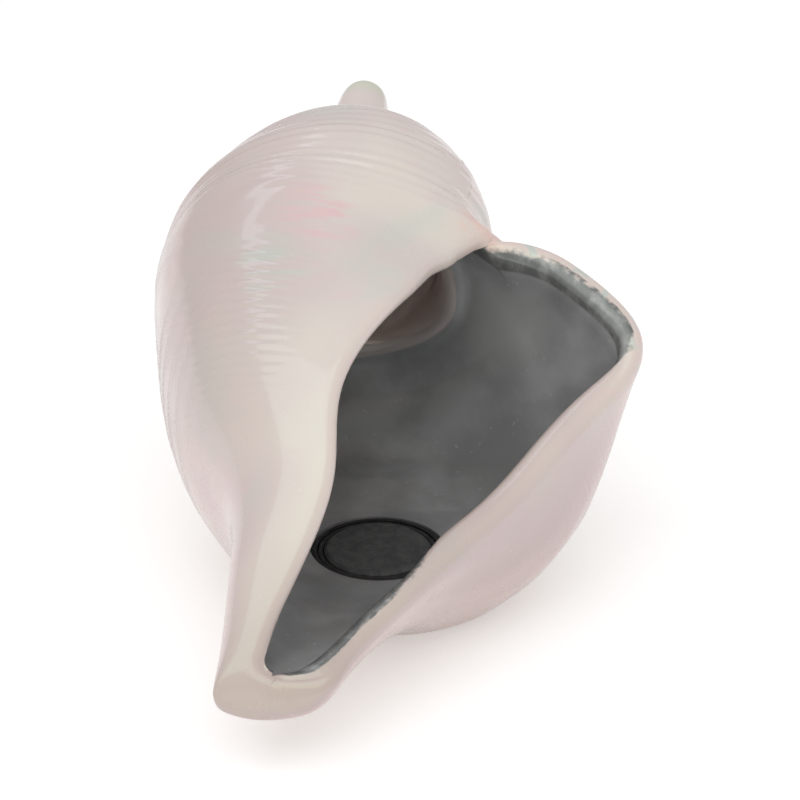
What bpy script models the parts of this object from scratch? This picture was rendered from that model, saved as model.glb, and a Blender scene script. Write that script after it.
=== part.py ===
"""Bubbling aquarium ornament: a hollow glazed conch shell with an air diffuser in its floor.

The shell lies on its back on a flat oval foot, its mouth up and to the right, its canal
towards -Y and its spire towards +Y.  Air enters by a swivelling elbow at the back of the
foot, runs through a short tube in the recess under the floor into a plenum cup, and leaves
as bubbles through a porous disc that lies in a collar in the mouth.

Lengths are in millimetres and are turned into metres when a mesh is made.  The origin is on
the table, under the middle of the ornament; +Z is up.
"""
import math

import bmesh
import bpy
import numpy as np
from mathutils import Matrix, Vector

MM = 0.001
GAP = 0.3                     # clearance between neighbouring pieces

# Shell: its own axis runs from the canal's tip up to the apex of the spire.
AXIS_TURN = math.radians(6.5)      # to the right of +Y
AXIS_RISE = math.radians(18.5)     # above the table
TIP = np.array((-25.2, -81.4, 16.1))
WALL = 4.8                    # slip-cast wall
LIP_EXTRA = 3.0               # extra thickness where the outer lip flares
SPIRE_EXTRA = 4.0             # extra thickness where the cavity narrows into the spire
ROW_STEPS = 2                 # mesh rows between two stations
COLUMN_STEPS = 4              # mesh columns between two points of a station

# Foot, and the recess under it.
PAD_HEIGHT = 0.7
FOOT_Z = PAD_HEIGHT + GAP     # underside of the ceramic
BELLY_Z = FOOT_Z + 0.4        # flat of the body's belly, inside the foot's outline
FOOT_CENTRE = (-4.0, -2.2)
FOOT_HALF = (21.5, 28.5)      # half width and half length of the oval foot
HEEL_HALF = (15.0, 10.0)      # the foot's higher back, up to the underside of the body whorl
HEEL_TOP = 11.5
FOOT_RIM = 4.5                # width of the ring that stands on the pads
RECESS_TOP = 5.8              # ceiling of the recess under the diffuser
RECESS_BACK_TOP = 10.0        # and at the back, where the inlet comes in
RECESS_BACK_R = 8.0
SEAT_Z = 8.7                  # floor of the round well that the diffuser's collar lies in
WELL_HEIGHT = 12.0            # up through the cavity's floor and sides
FLOOR_Z = 11.0                # floor of the cavity, round that well
FLOOR_RISE_Y = -1.2           # behind here the floor sweeps up
FLOOR_RISE = 0.5

# Diffuser stack, on one vertical axis.
AIR_X, AIR_Y = -3.6, -17.0
NECK_R = 5.4                  # threaded neck of the cup, through the floor
FLOOR_HOLE_R = 5.8
CUP_R = 8.0
CUP_BOTTOM = 1.2
CUP_SHOULDER = 4.4
PLENUM_R = 4.0
NECK_TOP = 9.8
COLLAR_R = 13.2
COLLAR_RIM = 1.1
COLLAR_BASE = SEAT_Z + GAP
COLLAR_TOP = 11.5
SEAL_WIDTH = 0.8
DISC_R = COLLAR_R - COLLAR_RIM - GAP - SEAL_WIDTH - GAP
DISC_BOTTOM = COLLAR_BASE + 1.1 + GAP
DISC_TOP = 11.9

# Air inlet through the back of the foot, on one horizontal axis.
INLET_X, INLET_Z = FOOT_CENTRE[0], 4.8
FOOT_BACK = FOOT_CENTRE[1] + FOOT_HALF[1]
INLET_HOLE_R = 3.3
GROMMET_R = 3.9
SPOT_FACE_R = GROMMET_R + 0.5      # flat seats of the grommet, inside and outside
BUSH_R = 2.1
BUSH_BORE = 1.5
SPIGOT_R = 1.2
ELBOW_Y = FOOT_BACK + 8.5
ELBOW_ARM = 14.0
ELBOW_TILT = math.radians(20.0)    # arm above the horizontal, at rest
BARB_R = 1.4
TUBE_R = 2.3
TUBE_WALL = 0.6
CUP_BARB_Z = 2.8
CUP_SPIGOT = 6.0              # length of the cup's spigot
BARB_PITCH = 2.3
TUBE_MIDDLE_Z = 3.3
PAD_R = 1.8

# The outer surface of the shell, as stations from the canal to the shoulder of the body
# whorl.  Each station has nine points, from the inner lip over the back of the whorl and
# under it to the outer lip, as (along the axis, to the right, up) from the tip.
MOUTH_STATIONS = [
    [(-1.5, 2, 2)] * 9,
    [(4, -1.2, 5), (2, -6, 3.5), (0, -7.5, 0.5), (-0.5, -6, -2.5), (-1, -1, -4),
     (-0.5, 4, -4.5), (0, 8, -3.5), (1, 10.5, -1), (2.5, 12, 2)],
    [(13, 2.2, 8), (12, -4, 7), (11, -7.5, 2), (10, -7.5, -3), (9.5, -4, -7),
     (9.5, 5, -9), (9.5, 12, -7.5), (10, 15.5, -3.5), (11, 17.5, 1)],
    [(26, 7.2, 13.5), (26, -2, 13), (25, -7.5, 7), (25, -8, -2), (25, -4, -10),
     (25, 6, -14), (25, 17, -13), (25, 23, -7), (23, 25, 1)],
    [(40, 10.5, 20), (40, 1, 20), (40, -8.5, 13), (41, -11, 0), (41, -9, -13),
     (40, 5, -24), (40, 23, -25), (40, 34, -14), (38, 34, 1)],
    [(56, 10, 25.5), (56, -3, 25.5), (57, -16.5, 18), (58, -21.5, 0), (57, -17, -20),
     (52, 6, -35), (53, 31, -36.5), (56, 49, -18), (55, 43.5, 1)],
    [(73, 16, 28), (73, -4, 30), (74, -21, 22), (75, -29, 0), (75, -24, -24),
     (73, 0, -43), (74, 33, -42), (75, 57, -18), (73, 53.5, 1)],
    [(87, 21.7, 24.5), (88, -2, 31.5), (89, -24, 24.5), (89, -32.5, 0), (89, -27, -24),
     (89, -1, -44), (89, 30, -40), (88, 58, -14), (88.5, 64, 1)],
    [(97, 25, 20), (98, 0, 32), (98, -25, 25.5), (98, -34.5, 0), (98, -29, -24),
     (98, -2, -40), (98, 26, -34), (99.5, 53, -12), (101.5, 61.5, 5)],
    [(105, 29, 17), (106, 1, 32.5), (107, -24, 26), (107, -35.5, 2), (107, -29, -23),
     (107, -3, -36), (107, 22, -29), (109, 41, -8), (111, 42, 12.5)],
]
# Round stations of the spire: distance along the axis, radius, shift to the right.
SPIRE_STATIONS = [
    (117, 34, -2), (125, 32.5, -1.5), (134, 29, -0.5), (142, 23.5, 0.5), (149, 17, 0.8),
    (156, 11.5, 0.5), (161, 8.2, 0.3), (165.5, 6.6, 0.3), (170, 5.9, 0.3), (173.5, 4.2, 0.3),
    (175, 0.6, 0.3),
]
SEAM = math.radians(-60)      # where the whorl closes, round from the top


def shell_axes():
    """The shell's own directions: along its axis, to the right, and up."""
    along = np.array((math.sin(AXIS_TURN) * math.cos(AXIS_RISE),
                      math.cos(AXIS_TURN) * math.cos(AXIS_RISE), math.sin(AXIS_RISE)))
    right = np.array((math.cos(AXIS_TURN), -math.sin(AXIS_TURN), 0.0))
    return along, right, np.cross(right, along)


def spire_station(along, radius, shift):
    """Nine points of a round station, starting and ending at the seam."""
    turns = [SEAM + math.radians(45 * step) for step in range(9)]
    return [(along, shift - radius * math.sin(a), radius * math.cos(a)) for a in turns]


def smooth_rows(points, steps, before=None, after=None):
    """A Catmull-Rom curve through the first axis of an array, steps samples to a span."""
    before = 2 * points[0] - points[1] if before is None else before
    after = 2 * points[-1] - points[-2] if after is None else after
    ends = np.concatenate((before[None], points, after[None]))
    rows = []
    for span in range(len(points) - 1):
        a, b, c, d = ends[span:span + 4]
        for step in range(steps):
            t = step / steps
            rows.append(b + 0.5 * t * (c - a + t * (2 * a - 5 * b + 4 * c - d
                                                    + t * (3 * (b - c) + d - a))))
    rows.append(points[-1])
    return np.array(rows)


def ease(value):
    value = np.clip(value, 0.0, 1.0)
    return value * value * (3 - 2 * value)


def outer_sheet():
    """The outer surface as a grid of points (row, column, xyz), and each row's station."""
    stations = MOUTH_STATIONS + [spire_station(*row) for row in SPIRE_STATIONS]
    rows = smooth_rows(np.array(stations, float), ROW_STEPS)
    station = np.arange(len(rows)) / ROW_STEPS
    shut = ease(station - (len(MOUTH_STATIONS) - 1.6))[:, None]
    before = (2 * rows[:, 0] - rows[:, 1]) * (1 - shut) + rows[:, 7] * shut
    after = (2 * rows[:, 8] - rows[:, 7]) * (1 - shut) + rows[:, 1] * shut
    grid = smooth_rows(np.moveaxis(rows, 1, 0), COLUMN_STEPS, before, after)
    grid = np.moveaxis(grid, 0, 1)
    along, right, up = shell_axes()
    world = TIP + grid[..., 0:1] * along + grid[..., 1:2] * right + grid[..., 2:3] * up
    return grid, world, station


def sheet_normals(world, first_shut):
    """Outward normals of the grid; columns 0 and -1 are one line from first_shut on."""
    normal = np.cross(np.gradient(world, axis=0), np.gradient(world, axis=1))
    seam = normal[first_shut:, 0] + normal[first_shut:, -1]
    normal[first_shut:, 0] = normal[first_shut:, -1] = seam
    normal[0] = normal[1].mean(axis=0)
    normal[-1] = normal[-2].mean(axis=0)
    return normal / np.linalg.norm(normal, axis=-1, keepdims=True)


def inner_sheet(grid, world, station, first_shut):
    """The cavity's surface: the outer sheet moved in by the wall, with a flat floor."""
    flare = np.exp(-((grid[..., 0:1] - 106) / 9) ** 2) * ease((grid[..., 1:2] - 25) / 20)
    spire = ease((grid[..., 0:1] - 112) / 4)
    wall = WALL + LIP_EXTRA * flare + SPIRE_EXTRA * spire
    inner = world + sheet_normals(world, first_shut) * -wall
    along, right, up = shell_axes()
    canal_end = TIP + 4.5 * along + 3.5 * right + 2.0 * up
    grow = ease(station / 2.2)[:, None, None]
    inner = canal_end * (1 - grow) + inner * grow
    floor = FLOOR_Z + FLOOR_RISE * np.maximum(inner[..., 1] - FLOOR_RISE_Y, 0.0)
    inner[..., 2] = np.maximum(inner[..., 2], np.minimum(floor, RECESS_BACK_TOP + 4.0))
    return inner


def shell_mesh():
    """The shell's wall: outer sheet, cavity and the lip that joins them round the mouth."""
    grid, world, station = outer_sheet()
    first_shut = len(MOUTH_STATIONS) * ROW_STEPS
    inner = inner_sheet(grid, world, station, first_shut)
    last_inner = int(np.argmax(station >= len(MOUTH_STATIONS) + 4))
    world[..., 2] = np.maximum(world[..., 2], BELLY_Z)
    mesh = bmesh.new()

    def add(points):
        return [mesh.verts.new(Vector(point) * MM) for point in points]

    def add_sheet(sheet, rows):
        """Vertices of a grid, closed to one column behind the mouth."""
        lines = [[add([sheet[0, 0]])[0]] * sheet.shape[1]]
        for row in range(1, rows):
            shut = row >= first_shut
            line = add(sheet[row, :-1] if shut else sheet[row])
            lines.append(line + [line[0]] if shut else line)
        return lines

    def skin(lines, flip):
        for a, b in zip(lines[:-1], lines[1:]):
            for j in range(len(a) - 1):
                corners = [a[j], b[j], b[j + 1], a[j + 1]]
                corners = [v for k, v in enumerate(corners) if v not in corners[:k]]
                if len(corners) > 2:
                    mesh.faces.new(corners[::-1] if flip else corners)

    outer = add_sheet(world, len(world) - 1)
    apex = add([world[-1].mean(axis=0)])[0]
    skin(outer + [[apex] * world.shape[1]], False)
    cavity = add_sheet(inner, last_inner)
    top = add([inner[last_inner].mean(axis=0)])[0]
    skin(cavity + [[top] * inner.shape[1]], True)
    for column, turn in ((0, False), (-1, True)):
        lip_out = [line[column] for line in outer[:first_shut + 1]]
        lip_in = [line[column] for line in cavity[:first_shut + 1]]
        skin([lip_out, lip_in], turn)
    bmesh.ops.recalc_face_normals(mesh, faces=mesh.faces)
    return mesh


def new_material(name, colour, roughness, metallic=0.0):
    material = bpy.data.materials.new(name)
    material.use_nodes = True
    shader = material.node_tree.nodes["Principled BSDF"]
    shader.inputs["Base Color"].default_value = (*colour, 1.0)
    shader.inputs["Roughness"].default_value = roughness
    shader.inputs["Metallic"].default_value = metallic
    return material


def new_object(name, data, collection, material=None):
    piece = bpy.data.objects.new(name, data)
    collection.objects.link(piece)
    if material is not None:
        data.materials.append(material)
    return piece


def from_bmesh(name, shape, collection, material=None, sharp=35.0):
    data = bpy.data.meshes.new(name)
    shape.to_mesh(data)
    shape.free()
    data.shade_smooth()
    data.set_sharp_from_angle(angle=math.radians(sharp))
    return new_object(name, data, collection, material)


def rod(shape, radius, length, matrix, sides=24, end_radius=None):
    """Adds a closed cylinder or cone on +Z from the matrix's origin, in millimetres."""
    end_radius = radius if end_radius is None else end_radius
    place = Matrix.Scale(MM, 4) @ matrix @ Matrix.Translation((0, 0, length / 2))
    bmesh.ops.create_cone(shape, cap_ends=True, segments=sides, radius1=radius,
                          radius2=end_radius, depth=length, matrix=place)


def cutter_rod(name, cutters, radius, length, matrix, sides=24):
    shape = bmesh.new()
    rod(shape, radius, length, matrix, sides)
    return hide_cutter(from_bmesh(name, shape, cutters))


def hide_cutter(piece):
    piece.hide_render = True
    piece.display_type = "WIRE"
    return piece


def boolean(piece, other, operation):
    step = piece.modifiers.new(f"{operation.lower()}_{other.name}", "BOOLEAN")
    step.operation = operation
    step.object = other
    step.solver = "EXACT"


def turned(name, profile, matrix, collection, material, steps=32):
    """A profile of (radius, height) turned about the matrix's Z.

    A ring's profile closes on itself; one that starts and ends on the axis stays open.
    """
    shape = bmesh.new()
    corners = [shape.verts.new((radius * MM, 0, height * MM)) for radius, height in profile]
    pairs = list(zip(corners[:-1], corners[1:]))
    if profile[0][0] > 0.0:
        pairs.append((corners[-1], corners[0]))
    for pair in pairs:
        shape.edges.new(pair)
    piece = from_bmesh(name, shape, collection, material)
    piece.matrix_world = Matrix.Translation(matrix.to_translation() * MM) @ matrix.to_3x3().to_4x4()
    turn = piece.modifiers.new("turn", "SCREW")
    turn.axis = "Z"
    turn.steps = turn.render_steps = steps
    turn.use_merge_vertices = True
    turn.merge_threshold = 0.00001
    return piece


def ring_profile(inner, outer, bottom, top):
    """A plain ring's section, running down its outer side."""
    return [(inner, top), (outer, top), (outer, bottom), (inner, bottom)]


def at(x, y, z):
    return Matrix.Translation((x, y, z))


def facing_back(x, y, z):
    """A matrix whose +Z points along world +Y."""
    return at(x, y, z) @ Matrix.Rotation(math.radians(-90), 4, "X")


def oval(name, cutters, half, bottom, top, back=0.0, sides=64):
    """A closed oval block, its middle on the foot's centre or moved back from it."""
    shape = bmesh.new()
    place = (at(FOOT_CENTRE[0], FOOT_CENTRE[1] + back, bottom)
             @ Matrix.Diagonal((half[0], half[1], 1, 1)))
    rod(shape, 1.0, top - bottom, place, sides)
    return hide_cutter(from_bmesh(name, shape, cutters))


def make_shell(collection, cutters, glaze):
    shell = from_bmesh("shell_body", shell_mesh(), collection, glaze, sharp=60.0)
    boolean(shell, oval("foot_block", cutters, FOOT_HALF, FOOT_Z, SEAT_Z - 0.4), "UNION")
    heel_back = FOOT_HALF[1] - HEEL_HALF[1] - GAP
    heel = oval("heel_block", cutters, HEEL_HALF, FOOT_Z + 2.0, HEEL_TOP, heel_back)
    boolean(shell, heel, "UNION")
    inside = (FOOT_HALF[0] - FOOT_RIM, FOOT_HALF[1] - FOOT_RIM)
    boolean(shell, oval("recess", cutters, inside, -1.0, RECESS_TOP), "DIFFERENCE")
    back = bmesh.new()
    back_inside = FOOT_CENTRE[1] + inside[1]
    rod(back, RECESS_BACK_R, RECESS_BACK_TOP + 1.0,
        at(INLET_X, back_inside - RECESS_BACK_R - 1.0, -1.0), 32)
    recess_back = hide_cutter(from_bmesh("recess_back", back, cutters))
    boolean(shell, recess_back, "DIFFERENCE")
    hole = cutter_rod("floor_hole", cutters, FLOOR_HOLE_R, 20.0, at(AIR_X, AIR_Y, -2.0), 32)
    boolean(shell, hole, "DIFFERENCE")
    seat = cutter_rod("collar_seat", cutters, COLLAR_R + GAP, WELL_HEIGHT,
                      at(AIR_X, AIR_Y, SEAT_Z), 48)
    boolean(shell, seat, "DIFFERENCE")
    inlet = cutter_rod("inlet_hole", cutters, INLET_HOLE_R, 16.0,
                       facing_back(INLET_X, back_inside - 6.0, INLET_Z), 32)
    boolean(shell, inlet, "DIFFERENCE")
    for name, start, length in (("seat_inside", back_inside - 8.0, 8.0),
                                ("seat_outside", FOOT_BACK - 0.2, 20.0)):
        spot_face = cutter_rod(name, cutters, SPOT_FACE_R, length,
                               facing_back(INLET_X, start, INLET_Z), 32)
        boolean(shell, spot_face, "DIFFERENCE")


def hose_spigot(root, stem, barb, length, barbs, bore):
    """The profile of a hose spigot: a bored stem with sloping barbs towards its end."""
    profile = [(bore, length), (barb - 0.45, length)]
    for number in range(barbs):
        top = length - BARB_PITCH * number
        profile += [(barb, top - 1.7), (stem, top - 1.8), (stem, top - 2.2)]
    return profile[:-1] + [(stem, root), (bore, root)]


def make_cup(collection, cutters, plastic):
    """Plenum cup under the floor, its threaded neck up through it, its barb to the back."""
    axis = at(AIR_X, AIR_Y, 0)
    inside_bottom = CUP_BOTTOM + 0.7
    profile = [(0.0, inside_bottom), (PLENUM_R, inside_bottom), (PLENUM_R, NECK_TOP),
               (NECK_R, NECK_TOP), (NECK_R, CUP_SHOULDER), (CUP_R, CUP_SHOULDER),
               (CUP_R, CUP_BOTTOM), (0.0, CUP_BOTTOM)]
    cup = turned("plenum_cup", profile, axis, collection, plastic)
    spigot_axis = facing_back(AIR_X, AIR_Y, CUP_BARB_Z)
    spigot_end = CUP_R + CUP_SPIGOT
    spigot = [(0.0, spigot_end)] + hose_spigot(CUP_R - 1.5, BARB_R - 0.35, BARB_R,
                                               spigot_end, 2, 0.0)[1:]
    joined = turned("cup_spigot", spigot, spigot_axis, cutters, None, 16)
    boolean(cup, hide_cutter(joined), "UNION")
    bore = cutter_rod("cup_bore", cutters, 0.6, spigot_end + 2.0, spigot_axis, 12)
    boolean(cup, bore, "DIFFERENCE")


def make_diffuser(collection, materials):
    """The porous disc in its collar, with the seal round it and the washer under the floor."""
    axis = at(AIR_X, AIR_Y, 0)
    turned("cup_gasket", ring_profile(NECK_R + GAP, CUP_R - 0.2, CUP_SHOULDER + GAP,
                                      RECESS_TOP - GAP), axis, collection, materials["rubber"])
    seat = COLLAR_BASE + 1.1
    rim = COLLAR_R - COLLAR_RIM
    collar = [(rim, COLLAR_TOP), (COLLAR_R - 0.3, COLLAR_TOP), (COLLAR_R, COLLAR_TOP - 0.3),
              (COLLAR_R, COLLAR_BASE), (NECK_R + GAP, COLLAR_BASE), (NECK_R + GAP, seat),
              (rim, seat)]
    turned("disc_collar", collar, axis, collection, materials["plastic"], 48)
    disc = [(0.0, DISC_TOP), (DISC_R - 0.6, DISC_TOP), (DISC_R, DISC_TOP - 0.5),
            (DISC_R, DISC_BOTTOM), (0.0, DISC_BOTTOM)]
    turned("diffuser_disc", disc, axis, collection, materials["stone"], 48)
    seal = ring_profile(DISC_R + GAP, DISC_R + GAP + SEAL_WIDTH, DISC_BOTTOM + 0.1,
                        DISC_TOP - 0.6)
    turned("disc_seal", seal, axis, collection, materials["rubber"], 48)


def make_inlet(collection, materials):
    """Grommet and bush in the back wall of the foot."""
    wall_in = FOOT_BACK - FOOT_RIM
    axis = facing_back(INLET_X, 0, INLET_Z)
    hole, neck = BUSH_R + GAP, INLET_HOLE_R - GAP
    inside, outside = wall_in - GAP - 0.9, FOOT_BACK - 0.2 + GAP + 0.9
    grommet = [(hole, outside), (GROMMET_R, outside), (GROMMET_R, outside - 0.9),
               (neck, outside - 0.9), (neck, wall_in - GAP), (GROMMET_R, wall_in - GAP),
               (GROMMET_R, inside), (hole, inside)]
    turned("inlet_grommet", grommet, axis, collection, materials["rubber"])
    back, step, front = outside + 1.6, outside + GAP, inside - GAP
    bush = [(BUSH_BORE, back), (BUSH_R + 0.9, back), (BUSH_R + 0.9, step), (BUSH_R, step),
            (BUSH_R, front), (BARB_R - 0.3, front), (BARB_R - 0.3, front - 3.6),
            (BARB_R, front - 3.8), (BARB_R - 0.4, front - 5.4), (0.6, front - 5.4),
            (0.6, front), (BUSH_BORE, front + 1.0)]
    turned("inlet_bush", bush, axis, collection, materials["plastic"])
    return front, back


def make_elbow(collection, cutters, plastic, bush_back, bush_front):
    """The outside elbow: its spigot turns in the bush, its barbed arm takes the airline."""
    pivot = bpy.data.objects.new("inlet_pivot", None)
    collection.objects.link(pivot)
    pivot.location = Vector((INLET_X, ELBOW_Y, INLET_Z)) * MM
    spigot_start = bush_front + 1.6 - ELBOW_Y
    collar_start = bush_back + GAP - ELBOW_Y
    body = [(0.0, 2.6), (1.8, 2.6), (2.3, 2.1), (2.3, collar_start), (SPIGOT_R, collar_start),
            (SPIGOT_R, spigot_start), (0.0, spigot_start)]
    elbow = turned("inlet_elbow", body, facing_back(0, 0, 0), collection, plastic, 24)
    elbow.parent = pivot
    arm_axis = Matrix.Rotation(math.pi / 2 - ELBOW_TILT, 4, "Y")
    arm = hose_spigot(0.1, 1.65, 2.15, ELBOW_ARM, 3, 0.0)[1:]
    joined = turned("elbow_arm", [(0.0, ELBOW_ARM)] + arm, arm_axis, cutters, None, 20)
    bore_in = cutter_rod("elbow_bore_in", cutters, 0.75, -spigot_start + 1.0,
                         facing_back(0, spigot_start - 1.0, 0), 12)
    bore_out = cutter_rod("elbow_bore_out", cutters, 0.8, ELBOW_ARM + 1.0, arm_axis, 14)
    for other, operation in ((joined, "UNION"), (bore_in, "DIFFERENCE"),
                             (bore_out, "DIFFERENCE")):
        other.parent = pivot
        boolean(elbow, hide_cutter(other), operation)


def make_tube(collection, silicone, bush_front):
    """Short silicone tube in the recess, pushed over the cup's barb and the bush's."""
    cup_end = AIR_Y + CUP_R + GAP
    route = [(AIR_X, cup_end, CUP_BARB_Z), (AIR_X, cup_end + 4.0, CUP_BARB_Z),
             (0.5 * (AIR_X + INLET_X), 0.5 * (cup_end + bush_front), TUBE_MIDDLE_Z),
             (INLET_X, bush_front - 4.5, INLET_Z), (INLET_X, bush_front - GAP, INLET_Z)]
    points = smooth_rows(np.array(route), 4)
    curve = bpy.data.curves.new("feed_route", "CURVE")
    curve.dimensions = "3D"
    curve.bevel_depth = TUBE_R * MM
    curve.bevel_resolution = 3
    line = curve.splines.new("POLY")
    line.points.add(len(points) - 1)
    for point, place in zip(line.points, points):
        point.co = (*(place * MM), 1.0)
    guide = new_object("feed_route", curve, collection)
    depsgraph = bpy.context.evaluated_depsgraph_get()
    data = bpy.data.meshes.new_from_object(guide.evaluated_get(depsgraph))
    bpy.data.objects.remove(guide)
    data.name = "feed_tube"
    data.shade_smooth()
    tube = new_object("feed_tube", data, collection, silicone)
    wall = tube.modifiers.new("wall", "SOLIDIFY")
    wall.thickness = TUBE_WALL * MM
    wall.offset = -1.0


def make_pads(collection, rubber):
    """Four clear pads that the foot's ring stands on."""
    reach = (FOOT_HALF[0] - FOOT_RIM / 2, FOOT_HALF[1] - FOOT_RIM / 2)
    for number in range(4):
        turn = math.radians(45 + 90 * number)
        x = FOOT_CENTRE[0] + reach[0] * math.cos(turn)
        y = FOOT_CENTRE[1] + reach[1] * math.sin(turn)
        profile = [(0.0, PAD_HEIGHT), (PAD_R, PAD_HEIGHT), (PAD_R, 0.2), (PAD_R - 0.3, 0.0),
                   (0.0, 0.0)]
        turned(f"foot_pad_{number + 1}", profile, at(x, y, 0), collection, rubber, 24)


def main():
    for piece in list(bpy.data.objects):
        bpy.data.objects.remove(piece)
    collection = bpy.data.collections.new("bubbling_ornament")
    cutters = bpy.data.collections.new("cutters")
    for group in (collection, cutters):
        bpy.context.scene.collection.children.link(group)
    materials = {
        "glaze": new_material("pearl_glaze", (0.66, 0.6, 0.57), 0.18),
        "stone": new_material("diffuser_stone", (0.03, 0.03, 0.03), 0.8),
        "plastic": new_material("black_plastic", (0.02, 0.02, 0.02), 0.4),
        "rubber": new_material("black_rubber", (0.03, 0.03, 0.03), 0.7),
        "silicone": new_material("silicone", (0.6, 0.62, 0.6), 0.35),
        "pad": new_material("clear_pad", (0.7, 0.7, 0.68), 0.3),
    }
    make_shell(collection, cutters, materials["glaze"])
    make_cup(collection, cutters, materials["plastic"])
    make_diffuser(collection, materials)
    bush_front, bush_back = make_inlet(collection, materials)
    make_elbow(collection, cutters, materials["plastic"], bush_back, bush_front)
    make_tube(collection, materials["silicone"], bush_front)
    make_pads(collection, materials["pad"])


main()
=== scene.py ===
import math

import bmesh
import bpy
import numpy as np
from mathutils import Matrix, Vector
from mathutils.kdtree import KDTree


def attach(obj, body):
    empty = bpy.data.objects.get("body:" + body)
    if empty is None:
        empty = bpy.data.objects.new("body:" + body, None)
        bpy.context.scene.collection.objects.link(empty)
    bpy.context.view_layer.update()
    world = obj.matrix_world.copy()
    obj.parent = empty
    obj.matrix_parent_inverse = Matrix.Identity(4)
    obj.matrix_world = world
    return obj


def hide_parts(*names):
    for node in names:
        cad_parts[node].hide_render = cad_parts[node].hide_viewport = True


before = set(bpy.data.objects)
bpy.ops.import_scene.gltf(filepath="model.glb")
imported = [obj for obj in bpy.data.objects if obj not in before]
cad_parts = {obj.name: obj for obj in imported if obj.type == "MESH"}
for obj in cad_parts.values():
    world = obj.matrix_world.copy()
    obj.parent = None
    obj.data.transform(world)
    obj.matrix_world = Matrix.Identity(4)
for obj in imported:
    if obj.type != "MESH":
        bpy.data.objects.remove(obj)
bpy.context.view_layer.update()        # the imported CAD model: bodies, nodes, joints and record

MM = 0.001

# The shell's surface: the CAD model's stations, a little closer to the cast shape.
AXIS_TURN = math.radians(6.5)
AXIS_RISE = math.radians(18.5)
TIP = np.array((-25.2, -81.4, 16.1))
WALL, LIP_EXTRA, EDGE_EXTRA, SPIRE_EXTRA = 4.8, 2.6, 2.3, 2.5
BELLY_Z, FLOOR_Z, FLOOR_RISE_Y, FLOOR_RISE, FLOOR_TOP = 1.4, 11.0, -1.2, 0.25, 13.5
MOUTH_STATIONS = [
    [(-1.5, -5, -0.8)] * 9,
    [(4, -1.2, 5), (2, -6, 3.5), (0, -7.5, 0.5), (-0.5, -6, -2.5), (-1, -1, -4),
     (-0.5, 4, -4.5), (0, 8, -3.5), (1, 10.5, -1), (2.5, 12, 2)],
    [(13, 2.2, 8), (12, -4, 7), (11, -7.5, 2), (10, -7.5, -3), (9.5, -4, -7),
     (9.5, 5, -9), (9.5, 12, -7.5), (10, 15.5, -3.5), (11, 17.5, 1)],
    [(26, 7.2, 13.5), (26, -2, 13), (25, -7.5, 7), (25, -8, -2), (25, -4, -10),
     (25, 6, -14), (25, 17, -13), (25, 23, -7), (23, 25, 1)],
    [(40, 10.5, 20), (40, 1, 20), (40, -8.5, 13), (41, -11, 0), (41, -9, -13),
     (40, 5, -24), (40, 23, -25), (40, 34, -14), (38, 34, 1)],
    [(56, 10, 25.5), (56, -3, 25.5), (57, -16.5, 18), (58, -21.5, 0), (57, -17, -20),
     (52, 6, -35), (53, 31, -36.5), (56, 49, -18), (55, 43.5, 1)],
    [(73, 16, 28), (73, -4, 30), (74, -21, 22), (75, -29, 0), (75, -24, -24),
     (73, 0, -43), (74, 33, -42), (75, 57, -18), (73, 53.5, 1)],
    [(87, 21.7, 24.5), (88, -2, 31.5), (89, -24, 24.5), (89, -32.5, 0), (89, -27, -24),
     (89, -1, -44), (89, 30, -40), (88, 58, -14), (88.5, 64, 1)],
    [(97, 25, 20), (98, 0, 32), (98, -25, 25.5), (98, -34.5, 0), (98, -29, -24),
     (98, -2, -40), (98, 26, -34), (99.5, 53, -12), (102, 62.5, 5.5)],
    [(105, 29, 17), (106, 1, 32.5), (107, -24, 26), (107, -35.5, 2), (107, -29, -23),
     (107, -3, -36), (107, 22, -29), (110, 42, -7), (113, 43, 13.5)],
]
SPIRE_STATIONS = [
    (117, 33.4, -0.8), (125, 31.4, 0.6), (134, 27.6, 1.8), (142, 22.2, 2.2), (149, 15.2, 1.8),
    (155, 9.8, 0.9), (160, 7.2, 0.2), (165, 6.0, -0.1), (170, 5.2, -0.2), (173.5, 3.6, -0.2),
    (174.8, 0.6, -0.2),
]
SEAM = math.radians(-60)
SPIRE_STATION = len(MOUTH_STATIONS)
CAVITY_END = SPIRE_STATION + 4
MOUTH_FROM, MOUTH_TO = 0.8, 9.16        # stations between which the whorl is open
FRONT_CORNER, BACK_CORNER = 0.5, 0.45   # run, in stations, over which the lips part

# The foot and what is cut into it, as in the CAD model.
GAP = 0.3
FOOT_Z, SEAT_Z, HEEL_TOP = 1.0, 8.7, 11.5
FOOT_CENTRE, FOOT_HALF, HEEL_HALF = (-4.0, -2.2), (21.5, 28.5), (15.0, 10.0)
FOOT_RIM, RECESS_TOP, RECESS_BACK_TOP = 4.5, 5.8, 10.0
FOOT_BACK = FOOT_CENTRE[1] + FOOT_HALF[1]
AIR_X, AIR_Y, FLOOR_HOLE_R, COLLAR_R = -3.6, -17.0, 5.8, 13.2
INLET_Z, INLET_HOLE_R, GROMMET_R = 4.8, 3.3, 3.9

CAMERA_TARGET, CAMERA_DISTANCE, CAMERA_HEIGHT, CAMERA_LENS = (0.8, -1.2, 36.8), 600, 26, 135

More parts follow.
